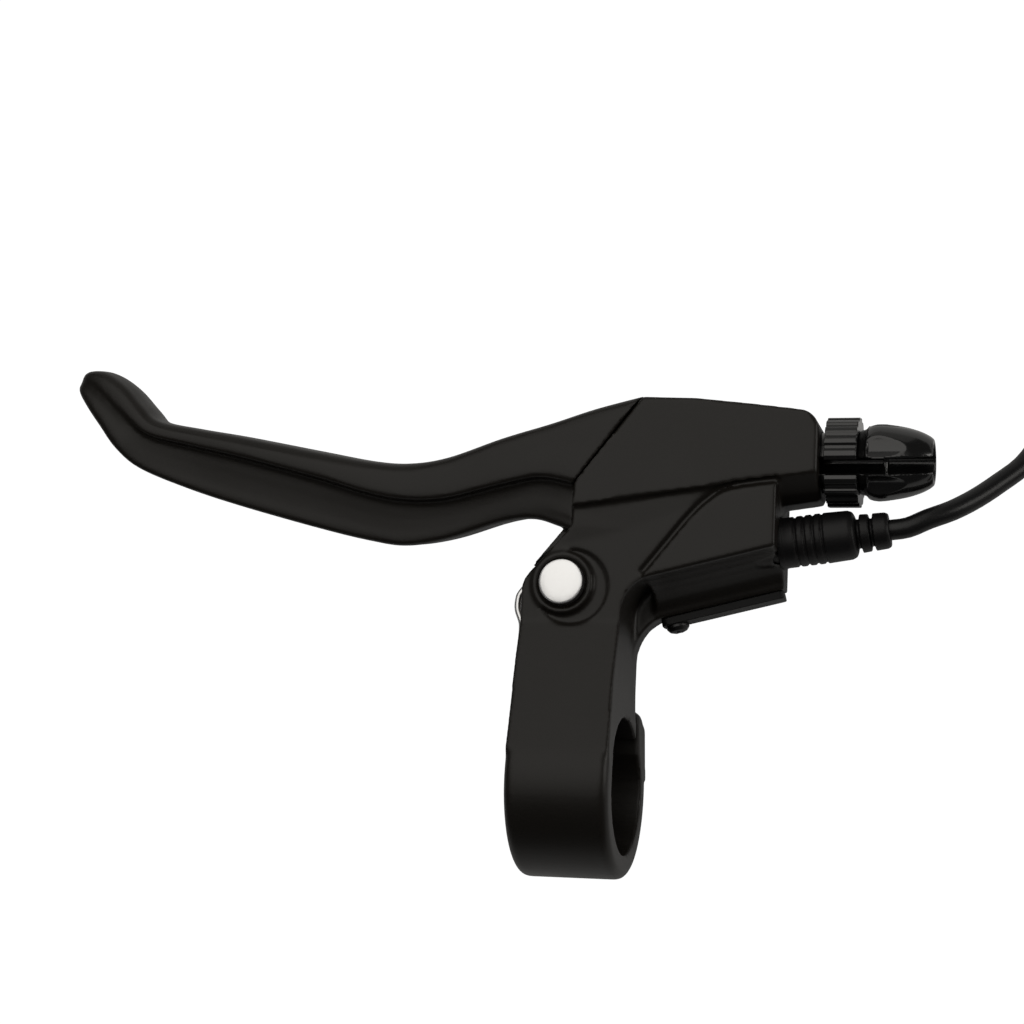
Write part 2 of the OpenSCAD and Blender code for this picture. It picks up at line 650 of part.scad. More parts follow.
module barrel_adjuster() color([0.05, 0.05, 0.055]) {
    r = adjuster_d / 2;
    stem = thread_d / 2;
    end_r = housing_d / 2 + 1.1;
    outline = [
        [face_x - thread_len + 5, 0], [face_x - thread_len + 5, stem - 0.5],
        [face_x - thread_len + 5.5, stem], [grip_x, stem], [grip_x, r * 0.82],
        [grip_x + 1, r * 0.85], [grip_x + 1.3, r * 0.95], [grip_x + 2.6, r], [grip_x + 4.2, r * 0.99],
        [grip_x + adjuster_len * 0.6, r * 0.9], [grip_x + adjuster_len * 0.8, r * 0.79],
        [grip_end - 0.7, end_r + 0.1], [grip_end, end_r - 0.5], [grip_end, 0]
    ];
    difference() {
        turned(outline);
        turned([[grip_end - housing_depth, 0], [grip_end - housing_depth, housing_d / 2],
                [grip_end + 1, housing_d / 2], [grip_end + 1, 0]]);
        turned([[face_x - thread_len, 0], [face_x - thread_len, wire_slot / 2],
                [grip_end, wire_slot / 2], [grip_end, 0]]);
        open_slot(face_x - thread_len, grip_end + 1);
        for (i = [0:adjuster_flutes - 1])
            translate([grip_x + 1.4, cable_y, 0]) rotate([slot_turn + 360 * (i + 0.5) / adjuster_flutes, 0, 0])
                translate([0, 0, r + 1]) rotate([0, 90, 0]) cylinder(h = adjuster_len, r = 2);
    }
}

module adjuster_locknut() color([0.05, 0.05, 0.055]) {
    r = locknut_d / 2;
    difference() {
        turned([[nut_x, 0], [nut_x, r - 0.5], [nut_x + 0.5, r], [nut_x + locknut_len - 0.5, r],
                [nut_x + locknut_len, r - 0.5], [nut_x + locknut_len, 0]]);
        turned([[nut_x - 1, 0], [nut_x - 1, thread_d / 2 + running],
                [nut_x + locknut_len + 1, thread_d / 2 + running], [nut_x + locknut_len + 1, 0]]);
        open_slot(nut_x - 1, nut_x + locknut_len + 1);
        for (i = [0:locknut_ribs - 1])
            translate([nut_x - 1, cable_y, 0]) rotate([slot_turn + 360 * (i + 0.5) / locknut_ribs, 0, 0])
                translate([0, 0, r + 0.35]) rotate([0, 90, 0]) cylinder(h = locknut_len + 2, r = 0.75);
    }
}

module reed_sensor() color([0.25, 0.25, 0.25]) {
    rotate([0, 0, box_tilt]) translate([cover_at + 5.9, box_floor + 8.7 - reed_r, cover_mid])
        rotate([0, 90, 0]) cylinder(h = reed_len, r = reed_r);
}

module switch_cover() color([0.12, 0.12, 0.12]) {
    rotate([0, 0, box_tilt]) difference() {
        translate([0, box_floor - rest_gap / 2, cover_mid]) rotate([90, 0, 0])
            linear_extrude(height = cover_t) cover_plan(0);
        translate([cover_at + screw_in, box_floor + 1, cover_mid]) rotate([90, 0, 0])
            cylinder(h = 4, r = screw_r + rest_gap);
    }
}

module cover_screw() color([0.1, 0.1, 0.1]) {
    top = box_floor - rest_gap / 2 - cover_t;
    rotate([0, 0, box_tilt]) translate([cover_at + screw_in, top, cover_mid]) rotate([90, 0, 0])
        difference() {
            rotate_extrude() polygon([
                [0, -5], [screw_r, -5], [screw_r, 0], [cover_head_d / 2, 0], [cover_head_d / 2, 0.5],
                [cover_head_d * 0.38, 1.05], [cover_head_d * 0.2, 1.3], [0, 1.3]
            ]);
            for (a = [0, 90]) rotate([0, 0, a]) translate([-0.95, -0.25, 0.6]) cube([1.9, 0.5, 2]);
        }
}

module switch_boot() color([0.09, 0.09, 0.095]) {
    r = boot_d / 2;
    body = boot_len - 5.4;
    end = boot_len;
    grooves = [for (i = [0:3]) each let (x = body * 0.22 + i * 1.45)
        [[x, r - 0.12], [x + 0.2, r - 0.4], [x + 0.5, r - 0.4], [x + 0.7, r - 0.12]]];
    outline = concat(
        [[-3.3, 0], [-3.3, r - 1.2], [0, r - 1.2], [0, r]], grooves,
        [[body - 1, r - 0.25], [body, r - 1], [body + 0.2, r - 1.9], [body + 0.7, r - 1.9],
         [body + 0.8, r - 1.1], [body + 2.2, r - 1.2], [body + 2.3, r - 2.0], [body + 2.8, r - 2.0],
         [body + 2.9, r - 1.2], [end - 0.5, r - 1.3], [end, r - 1.6], [end, 0]]
    );
    translate(boot_at + [rest_gap / 2, 0, 0]) rotate([0, 0, boot_tilt]) rotate([0, 90, 0])
        rotate_extrude() polygon([for (p = outline) [p[1], p[0]]]);
}

module switch_cable() color([0.08, 0.08, 0.085]) {
    wire(concat([boot_end + [rest_gap, 0, 0]], cord_out), cord_d / 2);
    wire(cord_tail, cord_d / 2);
}

// the outline of the coil's turns, grown by g
function coil_section(g) =
    let (a = coil_r_in - cord_d / 2 - g, b = coil_r_out + cord_d / 2 + g, step = cord_d / 2)
    [[a, coil_low - g], [b, coil_low - g], [b, coil_low + cord_d + g * 0.6],
     [b - step - g * 0.6, coil_high + g], [a + step + g * 0.6, coil_high + g], [a, coil_low + cord_d + g * 0.6]];

module cable_coil() color([0.08, 0.08, 0.085]) {
    translate([coil_at[0], coil_at[1], 0]) rotate_extrude() polygon(coil_section(0));
}

module cable_tie() color([0.06, 0.06, 0.06]) {
    translate([coil_at[0], coil_at[1], 0]) rotate([0, 0, -tie_w / 2]) rotate_extrude(angle = tie_w)
        difference() {
            polygon(coil_section(tie_t + rest_gap / 2));
            polygon(coil_section(rest_gap / 2));
        }
}

module plug_frame() {
    last = cord_tail[len(cord_tail) - 1];
    translate(last) rotate([0, 0, plug_dir]) rotate([0, 90, 0]) children();
}

module connector_body() color([0.07, 0.07, 0.075]) {
    r = plug_d / 2;
    plug_frame() difference() {
        rotate_extrude() polygon([
            [0, 0.05], [cord_d / 2 + 0.7, 0.05], [cord_d / 2 + 1.2, 6], [r - 0.5, 8.5], [r, 9],
            [r, plug_len - 9], [r - 0.4, plug_len - 8.6], [r - 1, plug_len - 8.5],
            [r - 1, plug_len - 0.4], [r - 1.4, plug_len], [0, plug_len]
        ]);
        translate([0, 0, plug_len - 7]) cylinder(h = 8, r = r - 1.9);
        for (a = [0:30:330]) rotate([0, 0, a]) translate([r + 0.25, 0, 10]) cylinder(h = 6.5, r = 0.6);
    }
}

module connector_ring() color([0.75, 0.3, 0.12]) {
    r = plug_d / 2 - 1 + fit;
    plug_frame() translate([0, 0, plug_len - 5.2]) difference() {
        cylinder(h = 1.2, r = r + 0.6);
        translate([0, 0, -1]) cylinder(h = 4, r = r);
    }
}

module connector_pins() color([0.85, 0.7, 0.35]) {
    for (a = [0, 180])
        plug_frame() rotate([0, 0, a]) translate([1.1, 0, plug_len - 7 + rest_gap / 2])
            cylinder(h = 5, r = plug_pin_d / 2);
}

bracket();
clamp_bolt();
bolt_washer();
brake_blade();
pivot_pin();
pivot_bush();
pivot_washers();
pivot_clip();
return_spring();
blade_magnet();
barrel_adjuster();
adjuster_locknut();
reed_sensor();
switch_cover();
cover_screw();
switch_boot();
switch_cable();
cable_coil();
cable_tie();
connector_body();
connector_ring();
connector_pins();
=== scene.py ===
"""Short brake lever for a straight handlebar, with a cut-off switch: its finishes and its detailed
pieces, in a plain studio. The pieces are drawn in millimetres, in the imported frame, and each turns
into metres as its mesh is made. The camera, the lamps and the table are in metres, and angles are in
degrees."""
import math

import bmesh
import bpy
from mathutils import Matrix, Vector


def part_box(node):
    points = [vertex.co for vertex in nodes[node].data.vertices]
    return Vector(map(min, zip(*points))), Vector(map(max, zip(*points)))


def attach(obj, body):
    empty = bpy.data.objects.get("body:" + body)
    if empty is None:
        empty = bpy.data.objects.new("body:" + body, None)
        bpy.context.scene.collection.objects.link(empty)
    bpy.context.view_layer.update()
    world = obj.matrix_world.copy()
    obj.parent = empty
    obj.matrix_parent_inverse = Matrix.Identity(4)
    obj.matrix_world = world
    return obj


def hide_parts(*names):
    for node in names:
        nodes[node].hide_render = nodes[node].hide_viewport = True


MM = 0.001
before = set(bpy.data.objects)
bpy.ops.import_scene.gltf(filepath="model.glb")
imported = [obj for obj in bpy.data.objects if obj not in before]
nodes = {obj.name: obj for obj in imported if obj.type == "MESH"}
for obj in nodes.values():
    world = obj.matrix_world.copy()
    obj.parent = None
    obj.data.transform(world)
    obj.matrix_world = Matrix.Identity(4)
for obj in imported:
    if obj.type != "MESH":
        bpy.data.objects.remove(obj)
shown = dict(nodes)
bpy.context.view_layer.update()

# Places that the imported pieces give, in millimetres
pin_low, pin_high = (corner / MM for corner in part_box("pivot_pin"))
nut_low, nut_high = (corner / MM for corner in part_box("adjuster_locknut"))
grip_low, grip_high = (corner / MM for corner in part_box("barrel_adjuster"))
coil_low, coil_high = (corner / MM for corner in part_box("cable_coil"))

PIVOT = (pin_low + pin_high) / 2
CABLE_Y = (nut_low.y + nut_high.y) / 2
FLOOR_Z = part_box("bracket")[0].z / MM


# Camera: where the photograph was taken from, worked out from the clamp's bore
VIEW_TURN = 15.4
VIEW_DROP = 11.0
VIEW_DISTANCE = 0.380
IMAGE_PIXELS = 1024
PIXELS_PER_METRE = 6130
BORE_CENTRE_PIXEL = (576, 785)


def new_object(name, data):
    made = bpy.data.objects.new(name, data)
    bpy.context.scene.collection.objects.link(made)
    return made


def set_camera():
    back = Vector((math.tan(math.radians(VIEW_TURN)), -math.tan(math.radians(VIEW_DROP)), 1)).normalized()
    right = (Vector((1, 0, 0)) - back.x * back).normalized()
    up = back.cross(right)
    focal_pixels = PIXELS_PER_METRE * VIEW_DISTANCE
    half = IMAGE_PIXELS / 2
    across = (BORE_CENTRE_PIXEL[0] - half) / focal_pixels
    down = (BORE_CENTRE_PIXEL[1] - half) / focal_pixels
    camera = new_object("camera", bpy.data.cameras.new("camera"))
    camera.matrix_world = Matrix((right, up, back)).transposed().to_4x4()
    camera.location = VIEW_DISTANCE * (back - across * right + down * up)
    camera.data.sensor_width = 36
    camera.data.lens = focal_pixels * camera.data.sensor_width / IMAGE_PIXELS
    camera.data.clip_start = 0.01
    bpy.context.scene.camera = camera


class Value:
    """A shader socket that Python's operators work on, each adding its Math node."""

    def __init__(self, finish, socket):
        self.finish = finish
        self.socket = socket

    def math(self, operation, other):
        return self.finish.node("Math", {"operation": operation}, (0, self), (1, other))

    def __add__(self, other):
        return self.math("ADD", other)

    def __mul__(self, other):
        return self.math("MULTIPLY", other)

    __radd__ = __add__
    __rmul__ = __mul__


class Finish:
    """A material, built from nodes around one Principled shader."""

    def __init__(self, name):
        self.material = bpy.data.materials.new(name)
        self.material.use_nodes = True
        self.tree = self.material.node_tree
        self.shader = self.tree.nodes["Principled BSDF"]

    def set_input(self, socket, value):
        if isinstance(value, Value):
            self.tree.links.new(value.socket, socket)
        else:
            socket.default_value = value

    def node(self, kind, settings=None, *inputs, out=0):
        """Adds a node: its settings first, then (input, value or link) pairs."""
        made = self.tree.nodes.new("ShaderNode" + kind)
        for name, value in (settings or {}).items():
            if name == "stops":
                self.set_stops(made.color_ramp, value)
            else:
                setattr(made, name, value)
        for key, value in inputs:
            self.set_input(made.inputs[key], value)
        return Value(self, made.outputs[out])

    def set_stops(self, ramp, stops):
        while len(ramp.elements) < len(stops):
            ramp.elements.new(1)
        for element, (place, level) in zip(ramp.elements, stops):
            element.position = place
            element.color = (level, level, level, 1)

    def place(self):
        """The point on the piece, in metres, which moves with the piece."""
        return self.node("TexCoord", out="Object")

    def noise(self, size_mm, detail=2.0, rough=0.5, stretch=(1, 1, 1)):
        """Cloudy noise from 0 to 1, with spots about size_mm across."""
        scale = tuple(1 / (MM * size_mm * s) for s in stretch)
        at = self.node("VectorMath", {"operation": "MULTIPLY"}, (0, self.place()), (1, scale))
        return self.node(
            "TexNoise", None, ("Vector", at), ("Scale", 1.0), ("Detail", detail), ("Roughness", rough))

    def ramp(self, value, *stops):
        return self.node("ValToRGB", {"stops": stops}, (0, value))

    def about(self, middle, *shares):
        """A level that wanders evenly about its middle: pairs of a noise and how far it moves the level."""
        wander = sum(by for noise, by in shares)
        total = middle - wander / 2
        for noise, by in shares:
            total = noise * by + total
        return total

    def mix(self, factor, first, second):
        """A colour between two colours."""
        return self.node("Mix", {"data_type": "RGBA"}, (0, factor), (6, first), (7, second), out=2)

    def finish(self, colour, roughness, relief=None, depth_mm=0.01, constants=None):
        """Wires the shader: colour, roughness and relief may vary, the rest are constants."""
        self.set_input(self.shader.inputs["Base Color"], colour)
        self.set_input(self.shader.inputs["Roughness"], roughness)
        if relief is not None:
            bump = self.node(
                "Bump", None, ("Height", relief), ("Distance", depth_mm * MM), ("Strength", 1.0))
            self.set_input(self.shader.inputs["Normal"], bump)
        for name, value in (constants or {}).items():
            self.shader.inputs[name].default_value = value
        return self.material


def grey(level, warm=0.0):
    """A grey, with that share more red and less blue."""
    return (level * (1 + warm), level, level * (1 - warm), 1)


PAINT_WARMTH = 0.2
PAINT_SHINE = 0.33


def satin_paint(name, level, rough):
    """Black satin paint on a casting: a fine even grain, faint clouds, and a slightly soft skin."""
    f = Finish(name)
    clouds = f.noise(9, 3)
    grain = f.noise(0.22, 2, 0.6)
    ripple = f.noise(1.6, 2)
    colour = f.mix(clouds, grey(level * 0.86, PAINT_WARMTH), grey(level * 1.16, PAINT_WARMTH))
    specks = f.ramp(grain, (0.35, 0), (0.75, 0.5))
    colour = f.mix(specks, colour, grey(level * 1.7, PAINT_WARMTH))
    roughness = f.about(rough, (grain, 0.08), (clouds, 0.06))
    return f.finish(colour, roughness, grain * 0.35 + ripple, 0.012, {"Specular IOR Level": PAINT_SHINE})


def gloss_black():
    """Glossy black plating on turned aluminium."""
    f = Finish("gloss_black")
    smudge = f.noise(2.4, 3)
    rings = f.noise(0.5, 2, 0.5, (0.2, 1, 1))
    colour = f.mix(smudge, grey(0.006), grey(0.012))
    roughness = f.about(0.18, (smudge, 0.1))
    return f.finish(colour, roughness, rings, 0.002, {"Coat Weight": 0.3, "Specular IOR Level": 0.5})


def steel(name, level, rough):
    """Plated or blackened metal with fine tool marks."""
    f = Finish(name)
    marks = f.noise(0.12, 3, 0.6)
    clouds = f.noise(1.5, 3)
    colour = f.mix(clouds, grey(level * 0.92), grey(level))
    return f.finish(colour, f.about(rough, (clouds, 0.12)), marks, 0.002, {"Metallic": 1.0})


def moulded(name, colour, rough, grain_mm=0.18, depth_mm=0.01, shine=0.5):
    """Moulded rubber or plastic, or pressed bronze, with a fine matt grain."""
    f = Finish(name)
    grain = f.noise(grain_mm, 2, 0.6)
    clouds = f.noise(5, 3)
    dark = tuple(c * 0.85 for c in colour) + (1,)
    light = tuple(c * 1.15 for c in colour) + (1,)
    roughness = f.about(rough, (grain, 0.06), (clouds, 0.08))
    return f.finish(f.mix(clouds, dark, light), roughness, grain, depth_mm, {"Specular IOR Level": shine})


bracket_paint = satin_paint("bracket_paint", 0.008, 0.41)
blade_paint = satin_paint("blade_paint", 0.008, 0.40)
black_plating = gloss_black()
silver_steel = steel("silver_steel", 0.9, 0.31)
black_steel = steel("black_steel", 0.05, 0.41)
bronze = moulded("bronze", (0.45, 0.27, 0.1), 0.45)
sensor_resin = moulded("sensor_resin", (0.05, 0.05, 0.05), 0.5)
cover_plastic = moulded("cover_plastic", (0.007, 0.007, 0.007), 0.5, shine=0.2)
boot_rubber = moulded("boot_rubber", (0.007, 0.0065, 0.007), 0.45, shine=0.28)
lead_jacket = moulded("lead_jacket", (0.008, 0.008, 0.0085), 0.36, 0.4, 0.006, 0.35)
tie_plastic = moulded("tie_plastic", (0.008, 0.008, 0.008), 0.4)
seal_rubber = moulded("seal_rubber", (0.4, 0.06, 0.02), 0.5)
contact_brass = steel("contact_brass", 0.6, 0.26)

NODE_FINISH = {
    "bracket": bracket_paint, "brake_blade": blade_paint, "clamp_bolt": black_steel,
    "bolt_washer": silver_steel, "pivot_pin": silver_steel, "pivot_washers": silver_steel,
    "blade_magnet": silver_steel, "pivot_clip": black_steel, "cover_screw": black_steel,
    "return_spring": silver_steel, "pivot_bush": bronze, "barrel_adjuster": black_plating,
    "adjuster_locknut": black_plating, "reed_sensor": sensor_resin, "switch_cover": cover_plastic,
    "connector_body": cover_plastic, "switch_boot": boot_rubber, "switch_cable": lead_jacket,
    "cable_coil": lead_jacket, "cable_tie": tie_plastic, "connector_ring": seal_rubber,
    "connector_pins": contact_brass,
}


def dress_nodes():
    """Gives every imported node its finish, for those that no finished piece replaces."""
    for name, material in NODE_FINISH.items():
        mesh = nodes[name].data
        mesh.materials.clear()
        mesh.materials.append(material)


def add_piece(name, mesh, material, body, slot, *replaced):
    """Puts a finished mesh in the scene as a piece on a body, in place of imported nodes."""
    piece = new_object(name, mesh)
    mesh.materials.clear()
    mesh.materials.append(material)
    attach(piece, body)
    if replaced:
        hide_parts(*replaced)
    for node in replaced:
        shown[node] = piece
    return piece


def vectors(points):
    return [Vector(p) for p in points]


def blend4(a, b, c, d, t):
    """The point at t between b and c on the smooth curve through four points."""
    bend = 2 * a - 5 * b + 4 * c - d
    twist = 3 * b - a - 3 * c + d
    return 0.5 * (2 * b + (c - a) * t + bend * t * t + twist * t ** 3)


def smooth(points, steps):
    """A smooth curve through the points, with that many steps between two of them."""
    last = len(points) - 1
    out = []
    for i in range(last):
        four = [points[max(i - 1, 0)], points[i], points[i + 1], points[min(i + 2, last)]]
        out += [blend4(*four, k / steps) for k in range(steps)]
    return out + [points[last]]


def ease(t):
    """From 0 to 1 with a soft start and end, as t does."""
    t = min(max(t, 0), 1)
    return t * t * (3 - 2 * t)


# The switch lead: the same route as its solids. Angles along the coil are in degrees turned since
# its start.
LEAD_D = 3.4
BOOT_TILT = 7.5
BOOT_LEN = 18.0
BOOT_AT = Vector((32.1, 40.05, 0))
COIL_CENTRE = (coil_low + coil_high) / 2
COIL_OUTER = coil_high.x - COIL_CENTRE.x - LEAD_D / 2
COIL_START = 150.0
COIL_ANGLE = 915.5
STEP_IN_AT, STEP_IN_OVER = 295, 60
CLIMB_AT, CLIMB_OVER = 590, 55
CROSSING_AT, CROSSING_SPREAD = 685, 22
LEAD_STEPS_IN_COIL = 122

# The boot's place, and the lead's points before and after the coil
boot_along = Vector((math.cos(math.radians(BOOT_TILT)), math.sin(math.radians(BOOT_TILT)), 0))
boot_end = BOOT_AT + BOOT_LEN * boot_along
boot_place = Matrix.Translation(BOOT_AT + Vector((0.05, 0, 0))) @ Matrix.Rotation(
    math.radians(BOOT_TILT), 4, "Z") @ Matrix.Rotation(math.radians(90), 4, "Y")
LEAD_OUT = [
    boot_end, boot_end + Vector((2.9, 0.45, -0.1)), (56, 44.4, -0.9), (59.6, 46.1, -2.5), (63.2, 48.6, -5),
    (66.8, 51.7, -7.5), (70.3, 55.1, -10), (72.9, 59.4, -12), (74.6, 64.6, -13.3), (76.5, 70.2, -13.8),
    (79, 75.1, -13.9),
]
LEAD_TAIL = [
    (106.9, 52.8, -10.5), (104.6, 50.2, -10.3), (102.5, 47.8, -10.6), (100.6, 45.4, -11.4),
    (98.8, 42.7, -12.1), (97.4, 39.8, -12.3), (96.2, 36.9, -12.3),
]


def coil_point(turned):
    """The lead's centre after that many degrees of coil: one turn outside, one inside it, and the
    last one on top of the two, climbing beside the outer turn."""
    radius = COIL_OUTER - LEAD_D * ease((turned - STEP_IN_AT) / STEP_IN_OVER)
    lift = 0
    if turned > CLIMB_AT:
        roll = math.radians(180 - 60 * ease((turned - CLIMB_AT) / CLIMB_OVER))
        radius = COIL_OUTER + LEAD_D * math.cos(roll)
        lift = LEAD_D * math.sin(roll)
        over_the_crossing = math.exp(-(((turned - CROSSING_AT) / CROSSING_SPREAD) ** 2))
        lift += (LEAD_D - lift) * over_the_crossing * ease((turned - CLIMB_AT - 10) / 40)
    angle = math.radians(COIL_START - turned)
    z = coil_low.z + LEAD_D / 2 + lift
    return Vector((COIL_CENTRE.x + radius * math.cos(angle), COIL_CENTRE.y + radius * math.sin(angle), z))


def make_lead():
    coil = [coil_point(COIL_ANGLE * i / LEAD_STEPS_IN_COIL) for i in range(LEAD_STEPS_IN_COIL + 1)]
    route = smooth(vectors(LEAD_OUT) + coil + vectors(LEAD_TAIL), 3)
    curve = bpy.data.curves.new("switch_lead", "CURVE")
    curve.dimensions = "3D"
    spline = curve.splines.new("POLY")
    spline.points.add(len(route) - 1)
    for point, at in zip(spline.points, route):
        point.co = (*(at * MM), 1)
    curve.bevel_depth = LEAD_D / 2 * MM
    curve.bevel_resolution = 6
    curve.use_fill_caps = True
    lead = add_piece(
        "switch_lead", curve, lead_jacket, "bracket", "cable_jacket", "switch_cable", "cable_coil")
    length = sum((b - a).length for a, b in zip(route, route[1:])) * MM


# Solids: packed or drawn meshes, cut, joined and rounded
def with_modifiers(thing):
    """The thing's mesh with its modifiers in it; the thing itself is removed."""
    depsgraph = bpy.context.evaluated_depsgraph_get()
    mesh = bpy.data.meshes.new_from_object(thing.evaluated_get(depsgraph))
    bpy.data.objects.remove(thing)
    return mesh


def welded(node):
    """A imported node's mesh as one closed skin."""
    mesh = nodes[node].data.copy()
    skin = bmesh.new()
    skin.from_mesh(mesh)
    bmesh.ops.remove_doubles(skin, verts=skin.verts, dist=1e-6)
    skin.to_mesh(mesh)
    skin.free()
    return mesh


def carve(mesh, tools, operation="DIFFERENCE"):
    """The mesh with each tool's mesh cut off, or joined on, in turn."""
    body = new_object("carved", mesh)
    cutters = [new_object("cutter", tool) for tool in tools]
    for cutter in cutters:
        step = body.modifiers.new("cut", "BOOLEAN")
        step.operation = operation
        step.solver = "EXACT"
        step.object = cutter
    carved = with_modifiers(body)
    for cutter in cutters:
        bpy.data.objects.remove(cutter)
    return carved


def together(meshes):
    """Several meshes that don't touch, as one."""
    skin = bmesh.new()
    for mesh in meshes:
        skin.from_mesh(mesh)
    joined = bpy.data.meshes.new("joined")
    skin.to_mesh(joined)
    skin.free()
    return joined


def rounded(mesh, voxel_mm, passes):
    """The mesh with soft edges, as paint or moulding leaves them."""
    body = new_object("rounded", mesh)
    remesh = body.modifiers.new("remesh", "REMESH")
    remesh.mode = "VOXEL"
    remesh.voxel_size = voxel_mm * MM
    relax = body.modifiers.new("relax", "SMOOTH")
    relax.factor = 0.5
    relax.iterations = passes
    return with_modifiers(body)


def shaded(mesh, sharp_angle=40):
    """Shades the mesh smooth, but for edges sharper than the angle."""
    mesh.shade_smooth()
    mesh.set_sharp_from_angle(angle=math.radians(sharp_angle))
    return mesh


def prism(outline, low, high, turn=None):
    """An outline of [x, y], drawn out from low to high along Z, then turned by the matrix."""
    skin = bmesh.new()
    base = skin.faces.new([skin.verts.new((x, y, low)) for x, y in outline])
    bmesh.ops.recalc_face_normals(skin, faces=[base])
    made = bmesh.ops.extrude_face_region(skin, geom=[base])["geom"]
    top = [part for part in made if isinstance(part, bmesh.types.BMVert)]
    bmesh.ops.translate(skin, verts=top, vec=(0, 0, high - low))
    return to_mesh("prism", skin, turn)


def to_mesh(name, skin, turn=None):
    """A drawn skin as a mesh in metres, turned by the matrix first."""
    bmesh.ops.recalc_face_normals(skin, faces=skin.faces)
    matrix = Matrix.Scale(MM, 4) @ (turn or Matrix())
    skin.transform(matrix)
    mesh = bpy.data.meshes.new(name)
    skin.to_mesh(mesh)
    skin.free()
    return mesh


def circle_points(radius, count, at=(0, 0)):
    angles = [math.tau * i / count for i in range(count)]
    return [(at[0] + radius * math.cos(angle), at[1] + radius * math.sin(angle)) for angle in angles]


def rod(radius, low, high, at=(0, 0), turn=None, count=96):
    """A round bar along Z from low to high, then turned by the matrix."""
    return prism(circle_points(radius, count, at), low, high, turn)


def lathe(profile, turn, count=128):
    """A turned solid: its profile as [height, radius] from one end of the axis to the other."""
    skin = bmesh.new()
    rings = []
    for height, radius in profile:
        if radius < 1e-6:
            rings.append([skin.verts.new((0, 0, height))])
        else:
            rings.append([skin.verts.new((x, y, height)) for x, y in circle_points(radius, count)])
    for a, b in zip(rings, rings[1:]):
        for i in range(count):
            j = (i + 1) % count
            corners = [a[i % len(a)], a[j % len(a)], b[j % len(b)], b[i % len(b)]]
            corners = [c for k, c in enumerate(corners) if c not in corners[:k]]
            if len(corners) > 2:
                skin.faces.new(corners)
    for ring in (rings[0], rings[-1]):
        if len(ring) > 1:
            skin.faces.new(ring)
    return to_mesh("lathe", skin, turn)


def along_cable(turn=0):
    """Places a turned solid's Z on the brake cable's line, with its X facing forward."""
    return Matrix.Translation((0, CABLE_Y, 0)) @ Matrix.Rotation(math.radians(turn), 4, "X") @ Matrix(
        ((0, 0, 1, 0), (0, -1, 0, 0), (1, 0, 0, 0), (0, 0, 0, 1)))


def loft(name, rings):
    """A closed solid through rings that all have the same number of points."""
    skin = bmesh.new()
    made = [[skin.verts.new(p) for p in ring] for ring in rings]
    count = len(rings[0])
    for a, b in zip(made, made[1:]):
        for i in range(count):
            skin.faces.new((a[i], a[(i + 1) % count], b[(i + 1) % count], b[i]))
    skin.faces.new(made[0])
    skin.faces.new(made[-1])
    return to_mesh(name, skin)


def tube(name, points, radius, count=12):
    """A round wire along the points."""
    last = len(points) - 1
    rings = []
    for i, point in enumerate(points):
        along = (Vector(points[min(i + 1, last)]) - Vector(points[max(i - 1, 0)])).normalized()
        side = Vector((0, 0, 1)).cross(along).normalized()
        up = along.cross(side)
        rings.append([Vector(point) + radius * (c * side + s * up) for c, s in circle_points(1, count)])
    return loft(name, rings)


# The casting. The groove runs round the front of the switch housing, and the web's front swells out
# towards the crease under the head.
BAR_R = 11.1
PIN_R = 3.0
THREAD_R = 4.9
HEAD_END_X = nut_low.x - 0.1
GROOVE_R = 0.6
HOUSING_GROOVE = [
    (10.9, 33.9, 7.4), (13.9, 37.7, 7.4), (18.4, 43.3, 7.4), (21.6, 46.4, 7.5), (25, 48.2, 7.6),
    (32.9, 49.3, 7.7),
]
WEB_BACK_Z = 6.8
WEB_FRONT = [
    (-0.9, 41.8, 7.85), (-0.9, 44.9, 8.0), (22, 48.2, 7.6), (27, 47.4, 7.35), (10, 41, 7.35),
    (1, 38.8, 7.35), (-4.2, 38, 7.35),
]
BOOT_SEAT_R = 3.1


def web_swell():
    skin = bmesh.new()
    low = [skin.verts.new((x, y, WEB_BACK_Z)) for x, y, z in WEB_FRONT]
    high = [skin.verts.new(p) for p in WEB_FRONT]
    skin.faces.new(low)
    skin.faces.new(high)
    for i in range(len(high)):
        j = (i + 1) % len(high)
        skin.faces.new((low[i], low[j], high[j], high[i]))
    bmesh.ops.triangulate(skin, faces=skin.faces)
    return to_mesh("web_swell", skin)


def make_bracket():
    """The casting is softened all over, and its true bores are cut after that."""
    seat_wall = rod(BOOT_SEAT_R + 0.5, -3.7, -0.9, turn=boot_place)
    casting = carve(welded("bracket"), [web_swell(), seat_wall], "UNION")
    groove = tube("groove", smooth(vectors(HOUSING_GROOVE), 6), GROOVE_R)
    casting = carve(casting, [groove, rod(BOOT_SEAT_R, -3.4, 1, turn=boot_place)])
    casting = rounded(casting, 0.35, 6)
    along_bar = Matrix.Rotation(math.radians(90), 4, "Y")
    bores = [
        rod(BAR_R, -20, 20, turn=along_bar, count=160),
        rod(PIN_R + 0.02, -20, 20, PIVOT.xy),
        rod(THREAD_R + 0.05, HEAD_END_X - 18, HEAD_END_X + 5, turn=along_cable()),
    ]
    mesh = carve(casting, bores)
    add_piece("bracket_casting", shaded(mesh), bracket_paint, "bracket", "bracket_paint", "bracket")


